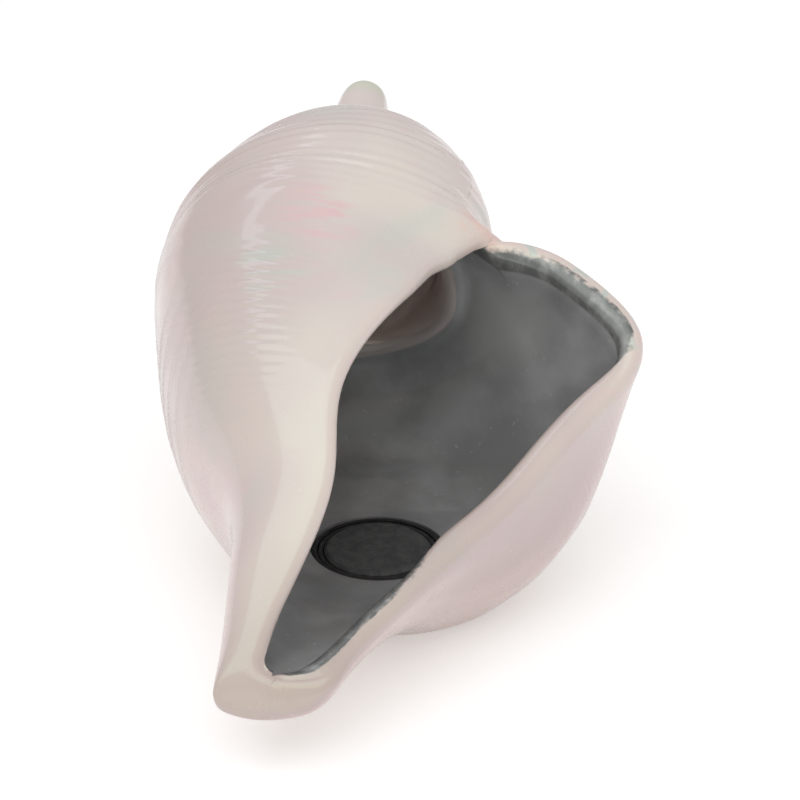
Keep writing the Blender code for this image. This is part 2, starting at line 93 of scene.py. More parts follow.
# Colours, linear.
PEARL_CREAM, PEARL_PINK = (0.79, 0.71, 0.64), (0.74, 0.63, 0.60)
# The rose and the green also colour two painted highlight streaks.
PEARL_GREEN_AND_HIGHLIGHT, PEARL_ROSE_AND_HIGHLIGHT = (0.65, 0.68, 0.61), (0.84, 0.58, 0.58)
LIP_PEACH, LUSTRE_TEAL, LUSTRE_PEACH = (0.80, 0.60, 0.52), (0.42, 0.63, 0.58), (0.88, 0.60, 0.50)
# The tan below is painted shade, laid on towards the foot and down the left side.
KNOB_GREEN, PAINTED_SHADE_TAN, CLAY = (0.66, 0.71, 0.55), (0.50, 0.385, 0.345), (0.55, 0.5, 0.45)
# The pale speck tone also paints a highlight on the cavity's back wall.
PEWTER_DARK, PEWTER_LIGHT, PEWTER_SPECK_AND_HIGHLIGHT = (0.38, 0.38, 0.38), (0.54, 0.54, 0.54), (0.7, 0.7, 0.68)
PEWTER_THIN, PEWTER_WORN, HOLLOW_BROWN = (0.18, 0.18, 0.175), (0.31, 0.31, 0.30), (0.74, 0.65, 0.60)

# Centres of the places where a tint is stronger, in metres.
UPPER_LIP, LIP_CORNER, KNOB = (0.038, 0.011, 0.059), (0.018, 0.013, 0.068), (-0.007, 0.081, 0.072)
# A pale patch painted as a highlight on the pewter of the cavity's back wall.
BACK_WALL_HIGHLIGHT = (0.0275, 0.0265, 0.046)
# Two painted highlights: rose and green streaks along the ribs at the upper left, where light
# glints.
PAINTED_ROSE_HIGHLIGHT, PAINTED_GREEN_HIGHLIGHT = (-0.0152, -0.0003, 0.0769), (-0.0238, -0.0128, 0.0718)

# The lip depth, an attribute of the mesh: how far a point is inside the mouth's edge, in mm.
# It is less than 0 on the outer surface, and has a fixed value at the places named here.
DEEP, HOLLOW, BARE = 30.0, 60.0, -40.0    # far inside, in the spire's hollow, on cut clay
BAND_REACH = 12.0                         # the outer surface counts no further than this
PAINT_FROM, PAINT_TO = 3.5, 4.1           # where the pewter lustre's brushed edge lies
BRUSHING = 1.6                            # how far the brush marks move that edge
PAINT_ALONG = (0, 20, 36, 50, 75, 88, 98, 115)         # along the outer lip, and the depth
PAINT_SHIFT = (2.5, 2.2, 1.2, -1.8, -1.8, 1.2, 2, 2)   # added there, to move the edge

# The cavity's surface: a step round the spire's hollow (in stations, mm, stations), and a
# crease inside the upper lip (mm).
HOLLOW_FROM, HOLLOW_STEP, HOLLOW_RUN = 9.8, 3.0, 0.2
LEDGE_FROM, LEDGE_RUN, LEDGE_DEPTH = 4.6, 1.2, 1.1
LIP_SOFT = 0.1                # makes the lip's rounding a little wider than the wall
FLOOR_BEND = 5.0              # softness of the bend round the cavity's floor
CANAL_END = (4.5, 4.0, 2.2)   # where the cavity starts at the canal, from the tip

# The spiral ribs outside.
RIB_SPACING = 1.7
RIB_SPIRE_FROM = 104.0        # distance along the axis from which the ribs widen
RIB_SPIRE_RUN = 16.0          # distance over which they reach twice the spacing
RIB_SPIRE, RIB_BODY, RIB_FLUTE, RIB_UNDER = 0.26, 0.17, 0.2, 0.16     # heights

# Fineness of the surface.
ROW_LENGTH = 0.32             # between rows, along the axis
COLUMNS = 112                 # columns of the outer sheet
INNER_COLUMNS = 64
EDGE_COLUMNS = 7              # columns in the rounding of the lip, on either sheet
SAME_POINT = 0.02             # a cut mesh's point this close to an old one is that point


def shell_axes():
    along = np.array((math.sin(AXIS_TURN) * math.cos(AXIS_RISE),
                      math.cos(AXIS_TURN) * math.cos(AXIS_RISE), math.sin(AXIS_RISE)))
    right = np.array((math.cos(AXIS_TURN), -math.sin(AXIS_TURN), 0.0))
    return along, right, np.cross(right, along)


def ease(value):
    value = np.clip(value, 0.0, 1.0)
    return value * value * (3 - 2 * value)


def spire_station(along, radius, shift):
    turns = [SEAM + math.radians(45 * step) for step in range(9)]
    return [(along, shift - radius * math.sin(a), radius * math.cos(a)) for a in turns]


def spline_slopes(points, first, last):
    """The slopes that make a cubic through the first axis of an array smooth (C2)."""
    count = len(points) - 2
    system = 4.0 * np.eye(count) + np.eye(count, k=1) + np.eye(count, k=-1)
    right = 3.0 * (points[2:] - points[:-2])
    right[0] -= first
    right[-1] -= last
    middle = np.linalg.solve(system, right.reshape(count, -1)).reshape(right.shape)
    return np.concatenate((first[None], middle, last[None]))


def hermite(start, end, slope_in, slope_out, part):
    rest = 1.0 - part
    return (start * (1 + 2 * part) * rest ** 2 + end * (3 - 2 * part) * part ** 2
            + slope_in * part * rest ** 2 - slope_out * rest * part ** 2)


def along_rows(points, places):
    """The cubic through the first axis of an array, at real places along it."""
    slopes = spline_slopes(points, points[1] - points[0], points[-1] - points[-2])
    span = np.clip(np.floor(places).astype(int), 0, len(points) - 2)
    part = (places - span).reshape((-1,) + (1,) * (points.ndim - 1))
    return hermite(points[span], points[span + 1], slopes[span], slopes[span + 1], part)


def column_curves(rows, station):
    """Points and slopes across the columns: open round the mouth, closed at its ends."""
    shut = np.maximum(ease(station - (SPIRE_STATION - 1.6)),
                      1 - ease((station - 0.4) / 0.9))[:, None]
    step = rows[:, 1] - rows[:, 0]
    last_step = rows[:, -1] - rows[:, -2]
    closed = 0.5 * (step + last_step)
    first = step * (1 - shut) + closed * shut
    last = last_step * (1 - shut) + closed * shut
    points = np.moveaxis(rows, 1, 0)
    return points, spline_slopes(points, first, last)


def across(points, slopes, places):
    """Every row's curve at its own places, given as (row, column)."""
    span = np.clip(np.floor(places).astype(int), 0, len(points) - 2)
    row = np.arange(places.shape[0])[:, None]
    part = (places - span)[..., None]
    return hermite(points[span, row], points[span + 1, row],
                   slopes[span, row], slopes[span + 1, row], part)


def join_lips(rows, station):
    """The rows with their two ends brought together where the mouth is shut."""
    front = np.clip(1 - (station - MOUTH_FROM) / FRONT_CORNER, 0, 1)
    back = np.clip(1 - (MOUTH_TO - station) / BACK_CORNER, 0, 1)
    joined = 1 - np.sqrt(1 - np.maximum(front, back)[:, None] ** 2)
    middle = 0.5 * (rows[:, 0] + rows[:, -1])
    rows = rows.copy()
    rows[:, 0] += (middle - rows[:, 0]) * joined
    rows[:, -1] += (middle - rows[:, -1]) * joined
    return rows


def to_world(grid):
    along, right, up = shell_axes()
    return TIP + grid[..., 0:1] * along + grid[..., 1:2] * right + grid[..., 2:3] * up


def sheet_normals(world, shut):
    """Outward normals; in the rows that are shut, the first and last columns are one line."""
    normal = np.cross(np.gradient(world, axis=0), np.gradient(world, axis=1))
    seam = normal[shut, 0] + normal[shut, -1]
    normal[shut, 0] = normal[shut, -1] = seam
    normal[0] = normal[1].mean(axis=0)
    normal[-1] = normal[-2].mean(axis=0)
    return normal / np.maximum(np.linalg.norm(normal, axis=-1, keepdims=True), 1e-9)


def wall_thickness(grid, column):
    """The wall: thick where the outer lip flares, along its lower edge, and in the spire."""
    along = grid[..., 0:1]
    flare = np.exp(-((along - 106) / 9) ** 2) * ease((grid[..., 1:2] - 25) / 20)
    edge = ease(column - 6.9) * ease((along - 26) / 14) * (1 - ease((along - 78) / 14))
    spire = ease((along - 112) / 4)
    return WALL + LIP_EXTRA * flare + EDGE_EXTRA * edge + SPIRE_EXTRA * spire


def is_shut(station):
    return (station <= MOUTH_FROM) | (station >= MOUTH_TO)


def wall_offsets(controls):
    """From the outer surface to the cavity's, two rows to a station, at its nine points."""
    station = np.arange(0, len(controls) - 0.75, 0.5)
    rows = along_rows(controls, station)
    column = np.arange(0, 8.01, 0.25)
    grid = across(*column_curves(rows, station), np.tile(column, (len(rows), 1)))
    thickness = wall_thickness(grid, column[:, None])
    offsets = sheet_normals(to_world(grid), station >= SPIRE_STATION) * -thickness
    return offsets[:, ::4]


def even_places(points, slopes, edge_radius, columns):
    """Column places of each row: close together in the lip's rounding, even between."""
    rows = len(edge_radius)
    dense = np.tile(np.linspace(0, len(points) - 1, 321), (rows, 1))
    line = across(points, slopes, dense)
    length = np.linalg.norm(np.diff(line, axis=1), axis=-1).cumsum(axis=1)
    length = np.concatenate((np.zeros((rows, 1)), length), axis=1)
    bend = np.linspace(0, math.pi / 2, EDGE_COLUMNS + 1)
    total = length[:, -1:]
    near = np.minimum(edge_radius[:, None], 0.2 * total) * (1 - np.cos(bend))[None]
    inner = np.linspace(0, 1, columns - 2 * EDGE_COLUMNS + 1)[None, 1:-1]
    middle = near[:, -1:] + (total - 2 * near[:, -1:]) * inner
    wanted = np.concatenate((near, middle, (total - near)[:, ::-1]), axis=1)
    return np.array([np.interp(w, d, p) for w, d, p in zip(wanted, length, dense)])


def lip_line(edge):
    """A search tree of close points on the mouth's edge, and each one's place along it."""
    piece = np.linalg.norm(np.diff(edge, axis=0), axis=-1)
    length = np.concatenate(([0], piece.cumsum()))
    fine = np.arange(0, length[-1], 0.06)
    points = np.stack([np.interp(fine, length, edge[:, k]) for k in range(3)], axis=-1)
    place = np.interp(fine, length, np.arange(len(edge)))
    tree = KDTree(len(points))
    for number, point in enumerate(points):
        tree.insert(point, number)
    tree.balance()
    return tree, place


def lip_distance(tree, place, radius, sheet):
    """Every point's distance to the mouth's edge, and the lip's half thickness there."""
    found = [tree.find(point) for point in sheet.reshape(-1, 3)]
    distance = np.array([hit[2] for hit in found]).reshape(sheet.shape[:2])
    nearest = place[[hit[1] for hit in found]]
    half = np.interp(nearest, np.arange(len(radius)), radius).reshape(sheet.shape[:2])
    return distance, half


def lip_rounding(distance, half):
    """How far, from 0 to 1 of half the wall, the sheet has sunk towards the lip's middle."""
    reach = np.clip(1.0 - distance / half, 0.0, 1.0)
    return 1.0 - np.sqrt(np.maximum(1.0 - reach ** 2, 0.0))


def rib_height(grid, column):
    """Height of the spiral ribs over the smooth shell, in mm; column runs from 0 to 8."""
    along = grid[..., 0]
    x = np.clip((along - RIB_SPIRE_FROM) / RIB_SPIRE_RUN, 0, 1)
    slower = RIB_SPIRE_RUN * (x ** 3 - x ** 4 / 2)
    slower += np.maximum(along - RIB_SPIRE_FROM - RIB_SPIRE_RUN, 0)
    sweep = 1.5 * np.tanh((column - 1.2) / 1.5) + 1.0
    lean = 6.5 * (1 - ease((along - 85) / 24)) * sweep * (1 - ease((column - 4) / 3.5))
    phase = (along - 0.5 * slower) / RIB_SPACING + 1.5 * column + lean
    wave = np.cos(2 * math.pi * phase)
    groove = 0.5 * (1 + wave) - 0.35 * (0.5 * (1 - wave)) ** 3
    strength = 0.62 + 0.38 * np.sin(2 * math.pi * phase / 3.7 + 0.35 * column)
    spire = ease((along - 104) / 10) * (1 - ease((along - 148) / 9))
    left = ease((column - 0.72) / 0.5) * (1 - ease((column - 5.6) / 0.8))
    body = left * ease((along - 44) / 22) * (1 - ease((along - 104) / 10))
    flutes = 0.3 * ease((column - 6.0) / 0.8) * (1 - ease((column - 7.75) / 0.2))
    flutes = flutes * ease((along - 58) / 12) * (1 - ease((along - 104) / 10))
    height = (RIB_SPIRE * spire + RIB_BODY * body + RIB_FLUTE * flutes) * strength * groove
    lines = 0.5 * (1 + np.cos(2 * math.pi * 15 * column))
    under = ease((column - 5.9) / 0.7) * (1 - ease((column - 7.7) / 0.2))
    under = under * ease((along - 22) / 12) * (1 - ease((along - 66) / 16))
    return height + RIB_UNDER * under * lines


def soft_floor(sheet):
    """The sheet kept above the cavity's floor, with a soft bend where they meet."""
    rise = FLOOR_RISE * np.maximum(sheet[..., 1] - FLOOR_RISE_Y, 0.0)
    floor = np.minimum(FLOOR_Z + rise, FLOOR_TOP)
    over = sheet[..., 2] - floor
    return floor + 0.5 * (over + np.sqrt(over ** 2 + FLOOR_BEND ** 2))


def inner_steps(along, column, distance, station):
    """How far the cavity's surface is moved outward: a crease in the lip, and the hollow."""
    upper = ease((along - 84) / 8) * (1 - ease((along - 109) / 4)) * ease(column - 5)
    ledge = LEDGE_DEPTH * upper * ease((distance - LEDGE_FROM) / LEDGE_RUN)
    return ledge - HOLLOW_STEP * ease((station - HOLLOW_FROM) / HOLLOW_RUN)


def paint_depth(grid, column, distance, station):
    """The depth inside the lip, as the pewter lustre's brushed edge follows it."""
    along = grid[..., 0]
    side = np.maximum(ease((column - 3) / 2), 1 - ease((along - 8) / 8))
    depth = distance + side * np.interp(along, PAINT_ALONG, PAINT_SHIFT)
    return np.where(station > HOLLOW_FROM + 0.5 * HOLLOW_RUN, HOLLOW, np.minimum(depth, DEEP))


def shell_sheets():
    """Outer and inner grids in mm, which rows are shut, and both grids' lip depth."""
    controls = np.array(MOUTH_STATIONS + [spire_station(*row) for row in SPIRE_STATIONS], float)
    offsets = wall_offsets(controls)
    dense = np.linspace(0, len(controls) - 1, 2001)
    middle = along_rows(controls, dense)[:, 1:8].mean(axis=1)
    length = np.concatenate(([0], np.linalg.norm(np.diff(middle, axis=0), axis=-1).cumsum()))
    steps = 2 * int(length[-1] / ROW_LENGTH / 2)
    station = np.interp(np.linspace(0, length[-1], steps + 1), length, dense)
    shut = is_shut(station)
    rows = join_lips(along_rows(controls, station), station)
    offset_rows = join_lips(along_rows(offsets, station * 2), station)
    half_wall = 0.5 * np.linalg.norm(offset_rows[:, (0, -1)], axis=-1) + LIP_SOFT

    def sheets(step, columns):
        """The smooth outer surface and the cavity's, with the places of their columns."""
        part = slice(None, None, step)
        curves = column_curves(rows[part], station[part])
        places = even_places(*curves, half_wall[part].mean(axis=1), columns)
        over = to_world(across(*curves, places))
        offset = across(*column_curves(offset_rows[part], station[part]), places)
        grow = ease((station[part] - MOUTH_FROM + 0.5) / 2.0)[:, None, None]
        under = to_world(np.array(CANAL_END)) * (1 - grow) + (over + offset) * grow
        return over, under, places, across(*curves, places)

    smooth, under, places, grid = sheets(1, COLUMNS)
    is_open = np.flatnonzero(~shut)
    span = slice(is_open[0] - 1, is_open[-1] + 2)
    edge = np.concatenate((smooth[span, 0], smooth[span, -1][::-1]))
    radius = np.concatenate((half_wall[span, 0], half_wall[span, -1][::-1]))
    search = (*lip_line(edge), radius)
    distance, half = lip_distance(*search, smooth)
    ribs = rib_height(grid, places) * ease((distance - 0.3 * half) / half)
    sunk = lip_rounding(distance, half)[..., None]
    outer = smooth + sheet_normals(smooth, shut) * ribs[..., None] + 0.5 * (under - smooth) * sunk
    outer[..., 2] = np.maximum(outer[..., 2], BELLY_Z)

    outer_depth = -np.minimum(distance, BAND_REACH)

    over, inner, places, grid = sheets(2, INNER_COLUMNS)
    distance, half = lip_distance(*search, over)
    inner = inner + 0.5 * (over - inner) * lip_rounding(distance, half)[..., None]
    outward = (over - inner) / np.maximum(np.linalg.norm(over - inner, axis=-1), 1e-6)[..., None]
    steps = inner_steps(grid[..., 0], places, distance, station[::2, None])
    inner = inner + outward * steps[..., None]
    inner[..., 2] = soft_floor(inner)
    inner[:, 0] = outer[::2, 0]
    inner[:, -1] = outer[::2, -1]
    end_row = int(np.argmax(station[::2] >= CAVITY_END))
    paint = paint_depth(grid, places, distance, station[::2, None])
    return outer, inner[:end_row + 1], shut, outer_depth, paint


def shell_surface():
    """Points and faces of one closed mesh in mm, and each point's lip depth."""
    outer, inner, shut, outer_depth, lip_depth = shell_sheets()
    first, last = np.flatnonzero(~shut)[[0, -1]]
    first, last = first + first % 2, last - last % 2     # even rows, which the cavity has too
    points, faces, depth = [], [], []

    def add(values, inside):
        start = len(points)
        points.extend(values)
        depth.extend(inside)
        return list(range(start, len(points)))

    def face(*corners):
        corners = [v for k, v in enumerate(corners) if v not in corners[:k]]
        if len(corners) > 2:
            faces.append(corners)

    outer_lines = [add([outer[0, 0]], outer_depth[0, :1]) * outer.shape[1]]
    for row in range(1, len(outer) - 1):
        shut_row = not first <= row <= last
        used = slice(0, -1) if shut_row else slice(None)
        line = add(outer[row, used], outer_depth[row, used])
        outer_lines.append(line + [line[0]] if shut_row else line)
    outer_lines.append(add([outer[-1].mean(axis=0)], [-BAND_REACH]) * outer.shape[1])
    for a, b in zip(outer_lines[:-1], outer_lines[1:]):
        for j in range(len(a) - 1):
            face(a[j], b[j], b[j + 1], a[j + 1])

    inner_lines = [[outer_lines[first - 1][0]] * inner.shape[1]]
    inner_rows = range(first // 2, len(inner))
    for row in inner_rows:
        edge = outer_lines[2 * row]
        if 2 * row > last:
            line = add(inner[row, :-1], lip_depth[row, :-1])
            inner_lines.append(line + [line[0]])
        else:
            line = add(inner[row, 1:-1], lip_depth[row, 1:-1])
            inner_lines.append([edge[0]] + line + [edge[-1]])
    for i in range(len(inner_lines) - 1):
        a, b = inner_lines[i], inner_lines[i + 1]
        between = outer_lines[min(2 * inner_rows[i] - 1, last + 1)]
        lip = i > 0 and between[0] != between[-1]
        for j in range(len(a) - 1):
            start = [between[0]] if lip and j == 0 else []
            end = [between[-1]] if lip and j == len(a) - 2 else []
            face(a[j], a[j + 1], *end, b[j + 1], b[j], *start)
    pole = add([inner[-1].mean(axis=0)], [HOLLOW])[0]
    for j in range(inner.shape[1] - 1):
        face(inner_lines[-1][j], inner_lines[-1][j + 1], pole)
    corner = inner_lines[last // 2 - first // 2 + 2][0]
    face(outer_lines[last][0], outer_lines[last + 1][0], outer_lines[last][-1], corner)
    return np.array(points), faces, np.array(depth)


def new_piece(name, shape, sharp=40.0):
    """A visible piece from a bmesh in metres."""
    data = bpy.data.meshes.new(name)
    shape.to_mesh(data)
    shape.free()
    data.shade_smooth()
    data.set_sharp_from_angle(angle=math.radians(sharp))
    piece = bpy.data.objects.new(name, data)
    bpy.context.scene.collection.objects.link(piece)
    return piece


def rod(radius, start, end, centre, sides, half=(1, 1), axis="Z"):
    """A closed cylinder cutter, its ends at two places on an axis through centre, in mm."""
    shape = bmesh.new()
    turn = Matrix.Rotation(math.radians(-90), 4, "X") if axis == "Y" else Matrix.Identity(4)
    middle = Matrix.Translation((0, 0, 0.5 * (start + end)))
    place = Matrix.Translation(centre) @ turn @ middle @ Matrix.Diagonal((*half, 1, 1))
    bmesh.ops.create_cone(shape, cap_ends=True, segments=sides, radius1=radius,
                          radius2=radius, depth=end - start,
                          matrix=Matrix.Scale(MM, 4) @ place)
    return new_piece("cutter", shape)


def combine(piece, other, operation):
    """Adds a cutter to a piece, or takes it away, and deletes the cutter."""
    step = piece.modifiers.new(operation.lower(), "BOOLEAN")
    step.operation = operation
    step.object = other
    step.solver = "MANIFOLD"
    depsgraph = bpy.context.evaluated_depsgraph_get()
    data = bpy.data.meshes.new_from_object(piece.evaluated_get(depsgraph))
    piece.modifiers.clear()
    old, piece.data = piece.data, data
    bpy.data.meshes.remove(old)
    bpy.data.objects.remove(other)


def cut_depth(point):
    """The lip depth of a point made by a cut: pewter in the disc's well, else bare clay."""
    in_well = math.hypot(point.x - AIR_X, point.y - AIR_Y) < COLLAR_R + GAP + 0.5
    return DEEP if in_well and point.z > SEAT_Z - 0.1 else BARE


def make_shell():
    """The ceramic body: conch, foot, recess, well and holes, with its depth attribute."""
    points, faces, depth = shell_surface()
    data = bpy.data.meshes.new("shell_surface")
    data.from_pydata(points * MM, [], faces)
    shape = bmesh.new()
    shape.from_mesh(data)
    bmesh.ops.recalc_face_normals(shape, faces=shape.faces)
    bpy.data.meshes.remove(data)
    shell = new_piece("glazed_shell", shape)
    tree = KDTree(len(points))
    for number, point in enumerate(points):
        tree.insert(point * MM, number)
    tree.balance()

    centre = (*FOOT_CENTRE, 0)
    inside = (FOOT_HALF[0] - FOOT_RIM, FOOT_HALF[1] - FOOT_RIM)
    heel_centre = (FOOT_CENTRE[0], FOOT_CENTRE[1] + FOOT_HALF[1] - HEEL_HALF[1] - GAP, 0)
    back_inside = FOOT_CENTRE[1] + inside[1]
    air, inlet = (AIR_X, AIR_Y, 0), (FOOT_CENTRE[0], 0, INLET_Z)
    cuts = [
        ("UNION", rod(1, FOOT_Z, SEAT_Z - 0.4, centre, 128, FOOT_HALF)),
        ("UNION", rod(1, FOOT_Z + 2, HEEL_TOP, heel_centre, 96, HEEL_HALF)),
        ("DIFFERENCE", rod(1, -1, RECESS_TOP, centre, 128, inside)),
        ("DIFFERENCE", rod(8, -1, RECESS_BACK_TOP, (inlet[0], back_inside - 9, 0), 64)),
        ("DIFFERENCE", rod(FLOOR_HOLE_R, -2, 18, air, 64)),
        ("DIFFERENCE", rod(COLLAR_R + GAP, SEAT_Z, SEAT_Z + 12, air, 96)),
        ("DIFFERENCE", rod(INLET_HOLE_R, back_inside - 6, back_inside + 10, inlet, 48,
                           axis="Y")),
        ("DIFFERENCE", rod(GROMMET_R + 0.5, back_inside - 8, back_inside, inlet, 48,
                           axis="Y")),
        ("DIFFERENCE", rod(GROMMET_R + 0.5, FOOT_BACK - 0.2, FOOT_BACK + 20, inlet, 48,
                           axis="Y")),
    ]
    for operation, cutter in cuts:
        combine(shell, cutter, operation)

    data = shell.data
    data.shade_smooth()
    data.set_sharp_from_angle(angle=math.radians(50))
    values = []
    for vertex in data.vertices:
        _, number, gap = tree.find(vertex.co)
        same = gap < SAME_POINT * MM
        values.append(depth[number] if same else cut_depth(vertex.co / MM))
    attribute = data.attributes.new("lip_depth", "FLOAT", "POINT")
    attribute.data.foreach_set("value", values)
    return shell


# Materials ----------------------------------------------------------------------------

def start_material(name, roughness, **constants):
    """A Principled material; constants are set on the shader's own sockets."""
    material = bpy.data.materials.new(name)
    material.use_nodes = True
    tree = material.node_tree
    shader = tree.nodes["Principled BSDF"]
    shader.inputs["Roughness"].default_value = roughness
    for socket, value in constants.items():
        shader.inputs[socket.replace("_", " ")].default_value = value
    return material, tree, shader


def node(tree, kind, *links, **values):
    """A node with its named inputs set to a value or linked from another node's socket."""
    made = tree.nodes.new(kind)
    for name, value in values.items():
        if hasattr(made, name):
            setattr(made, name, value)
            continue
        socket = made.inputs[name.replace("_", " ")]
        if isinstance(value, bpy.types.NodeSocket):
            tree.links.new(value, socket)
        else:
            socket.default_value = value
    for number, value in links:
        tree.links.new(value, made.inputs[number])
    return made


def place(tree, scale=(1, 1, 1)):
    """Object coordinates, stretched."""
    source = tree.nodes.new("ShaderNodeTexCoord").outputs["Object"]
    mapping = node(tree, "ShaderNodeMapping", (0, source))
    mapping.inputs["Scale"].default_value = scale
    return mapping.outputs[0]


def noise(tree, vector, scale, detail=3.0, roughness=0.5, distortion=0.0):
    made = node(tree, "ShaderNodeTexNoise", (0, vector), Scale=scale, Detail=detail,
                Roughness=roughness, Distortion=distortion)
    return made.outputs["Fac"]


def spread(tree, value, low, high, start=0.0, end=1.0, smooth=True):
    """A value mapped from low..high to start..end."""
    made = tree.nodes.new("ShaderNodeMapRange")
    made.interpolation_type = "SMOOTHSTEP" if smooth else "LINEAR"
    tree.links.new(value, made.inputs["Value"])
    for socket, number in (("From Min", low), ("From Max", high), ("To Min", start),
                           ("To Max", end)):
        made.inputs[socket].default_value = number
    return made.outputs["Result"]


def calculate(tree, operation, first, second):
    made = tree.nodes.new("ShaderNodeMath")
    made.operation = operation
    for number, value in enumerate((first, second)):
        if isinstance(value, bpy.types.NodeSocket):
            tree.links.new(value, made.inputs[number])
        else:
            made.inputs[number].default_value = value
    return made.outputs[0]


def mix_colours(tree, factor, first, second, blend="MIX"):
    made = tree.nodes.new("ShaderNodeMix")
    made.data_type = "RGBA"
    made.blend_type = blend
    for socket, value in ((made.inputs[0], factor), (made.inputs[6], first),
                          (made.inputs[7], second)):
        if isinstance(value, bpy.types.NodeSocket):
            tree.links.new(value, socket)
        else:
            socket.default_value = (*value, 1.0) if isinstance(value, tuple) else value
    return made.outputs[2]


def mix_numbers(tree, factor, first, second):
    made = tree.nodes.new("ShaderNodeMix")
    for socket, value in ((made.inputs[0], factor), (made.inputs[2], first),
                          (made.inputs[3], second)):
        if isinstance(value, bpy.types.NodeSocket):
            tree.links.new(value, socket)
        else:
            socket.default_value = value
    return made.outputs[0]


def bump(tree, height, strength, distance):
    made = tree.nodes.new("ShaderNodeBump")
    made.inputs["Strength"].default_value = strength
    made.inputs["Distance"].default_value = distance
    tree.links.new(height, made.inputs["Height"])
    return made.outputs["Normal"]


def near(tree, centre, reach, fade):
    """A mask that is 1 within reach of a point and fades to 0."""
    made = tree.nodes.new("ShaderNodeVectorMath")
    made.operation = "DISTANCE"
    tree.links.new(place(tree), made.inputs[0])
    made.inputs[1].default_value = centre
    return spread(tree, made.outputs["Value"], reach, reach + fade, 1.0, 0.0)


def pearl_colour(tree):
    """Pearl lustre: cream, pink-grey and green-grey clouds, fine coloured streaks, and painted rose
    and green highlights along the ribs.
    """
    clouds = noise(tree, place(tree), 26, 2.0)
    patches = noise(tree, place(tree, (1.0, 0.8, 1.3)), 38, 2.0, distortion=0.6)
    streaks = noise(tree, place(tree, (0.35, 1.0, 1.0)), 260, 3.0)
    colour = mix_colours(tree, spread(tree, clouds, 0.38, 0.62), PEARL_CREAM, PEARL_PINK)
    green = spread(tree, patches, 0.52, 0.7, 0.0, 0.55)
    colour = mix_colours(tree, green, colour, PEARL_GREEN_AND_HIGHLIGHT)
    fine = spread(tree, streaks, 0.55, 0.75, 0.0, 0.2)
    colour = mix_colours(tree, fine, colour, PEARL_ROSE_AND_HIGHLIGHT)
    ribbed = noise(tree, place(tree, (0.12, 1.0, 1.0)), 330, 2.0)
    # Painted highlights: rose and green streaks laid along the ribs at two places.
    for centre, tint in ((PAINTED_ROSE_HIGHLIGHT, PEARL_ROSE_AND_HIGHLIGHT), (PAINTED_GREEN_HIGHLIGHT, PEARL_GREEN_AND_HIGHLIGHT)):
        painted_highlight = calculate(tree, "MULTIPLY", spread(tree, ribbed, 0.45, 0.6, 0.0, 0.9),
                           near(tree, centre, 0.003, 0.008))
        colour = mix_colours(tree, painted_highlight, colour, tint)
    return colour


def painted_lower_shade(tree, colour):
    """Painted shade: a tan darkening towards the foot and down the left side, where less light
    falls.
    """
    height = tree.nodes.new("ShaderNodeSeparateXYZ")
    tree.links.new(place(tree), height.inputs[0])
    # Painted shade: darker and tanner low down and on the left side.
    low = spread(tree, height.outputs["Z"], 0.0, 0.055, 0.95, 0.0)
    left = spread(tree, height.outputs["X"], -0.045, -0.008, 0.62, 0.0)
    return mix_colours(tree, calculate(tree, "MAXIMUM", low, left), colour, PAINTED_SHADE_TAN)


def lip_lustre(tree, colour):
    """Small teal and peach facets on the upper lip, and peach at its corner."""
    facets = noise(tree, place(tree, (1.0, 1.0, 0.7)), 230, 1.0, distortion=0.8)
    for low, high, tint, weight in ((0.56, 0.64, LUSTRE_TEAL, 0.42),
                                    (0.44, 0.36, LUSTRE_PEACH, 0.2)):
        patch = calculate(tree, "MULTIPLY", spread(tree, facets, low, high, 0.0, weight),
                          near(tree, UPPER_LIP, 0.016, 0.01))
        colour = mix_colours(tree, patch, colour, tint)
    corner = calculate(tree, "MULTIPLY", near(tree, LIP_CORNER, 0.002, 0.007),
                       spread(tree, facets, 0.4, 0.6, 0.1, 0.7))
    return mix_colours(tree, corner, colour, LUSTRE_PEACH)


def glaze_colour(tree, depth):
    """The outside: pearl, peach at the lip, painted tan shade below, with a greenish knob."""
    colour = pearl_colour(tree)
    colour = mix_colours(tree, spread(tree, depth, -4.0, -0.5, 0.0, 0.2), colour, LIP_PEACH)
    colour = lip_lustre(tree, painted_lower_shade(tree, colour))
    cap = calculate(tree, "MULTIPLY", near(tree, KNOB, 0.004, 0.004), 0.8)
    return mix_colours(tree, cap, colour, KNOB_GREEN)


def pewter_colour(tree, depth):
    """Brushed-on pewter lustre: soft patches, small specks, a painted highlight on the back wall,
    thin and mottled at the edge.
    """
    patches = noise(tree, place(tree), 60, 4.0, 0.55)
    specks = noise(tree, place(tree), 900, 2.0)
    mottle = noise(tree, place(tree, (1.0, 1.0, 0.5)), 330, 4.0, 0.6)
    colour = mix_colours(tree, spread(tree, patches, 0.35, 0.68), PEWTER_DARK, PEWTER_LIGHT)
    colour = mix_colours(tree, spread(tree, specks, 0.68, 0.74, 0.0, 0.5), colour, PEWTER_SPECK_AND_HIGHLIGHT)
    worn = mix_colours(tree, spread(tree, mottle, 0.42, 0.68), PEWTER_THIN, PEWTER_WORN)
    # Painted highlight: the pale speck tone laid over the back wall.
    colour = mix_colours(tree, near(tree, BACK_WALL_HIGHLIGHT, 0.006, 0.014), colour, PEWTER_SPECK_AND_HIGHLIGHT)
    colour = mix_colours(tree, spread(tree, depth, 6.0, 6.8, 1.0, 0.0), colour, worn)
    return mix_colours(tree, spread(tree, depth, 40.0, 50.0), colour, HOLLOW_BROWN)


